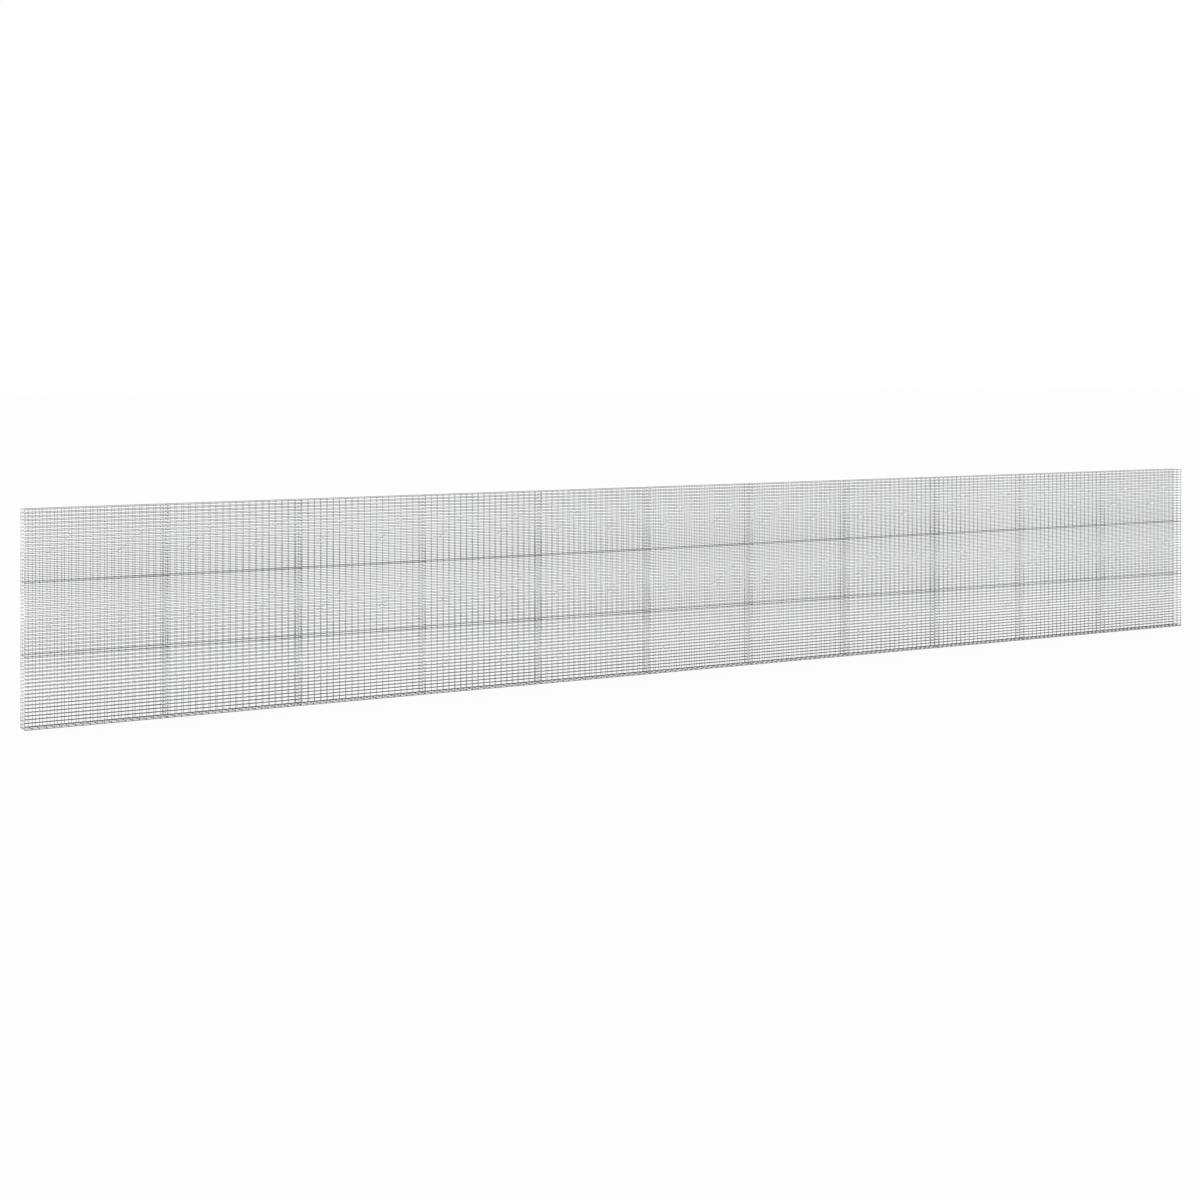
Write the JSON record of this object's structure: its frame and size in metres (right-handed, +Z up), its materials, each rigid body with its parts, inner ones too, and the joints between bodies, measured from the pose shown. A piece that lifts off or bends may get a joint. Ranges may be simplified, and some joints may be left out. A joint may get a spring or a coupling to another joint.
{
  "type": "gabion fence",
  "caption": "Long, thin gabion fence of welded wire mesh bays with partitions, a mesh floor, binder rings and spacer ties, standing empty with an open top.",
  "frame": {"origin": "bottom centre of the fence, on the flat underside of the floor mesh's middle wire", "axes": "+X along the fence, +Y from the front face to the back face, +Z up"},
  "size_m": [11.0648, 0.1326, 1.5132],
  "materials": {
    "mesh_wire": "galvanised, dull",
    "tie_wire": "galvanised, dull",
    "ring_wire": "galvanised, dull"
  },
  "bodies": {
    "root": {"front_bay_01": "mesh_wire", "front_bay_02": "mesh_wire", "front_bay_03": "mesh_wire", "front_bay_04": "mesh_wire", "front_bay_05": "mesh_wire", "front_bay_06": "mesh_wire", "front_bay_07": "mesh_wire", "front_bay_08": "mesh_wire", "front_bay_09": "mesh_wire", "front_bay_10": "mesh_wire", "front_bay_11": "mesh_wire", "back_bay_01": "mesh_wire", "back_bay_02": "mesh_wire", "back_bay_03": "mesh_wire", "back_bay_04": "mesh_wire", "back_bay_05": "mesh_wire", "back_bay_06": "mesh_wire", "back_bay_07": "mesh_wire", "back_bay_08": "mesh_wire", "back_bay_09": "mesh_wire", "back_bay_10": "mesh_wire", "back_bay_11": "mesh_wire", "partition_01": "mesh_wire", "partition_02": "mesh_wire", "partition_03": "mesh_wire", "partition_04": "mesh_wire", "partition_05": "mesh_wire", "partition_06": "mesh_wire", "partition_07": "mesh_wire", "partition_08": "mesh_wire", "partition_09": "mesh_wire", "partition_10": "mesh_wire", "end_left": "mesh_wire", "end_right": "mesh_wire", "floor_mesh": "mesh_wire", "ties_row_1": "tie_wire", "ties_row_2": "tie_wire", "ties_row_3": "tie_wire", "seam_rings_front": "ring_wire", "seam_rings_back": "ring_wire", "row_rings_front": "ring_wire", "row_rings_back": "ring_wire"}
  },
  "joints": []
}
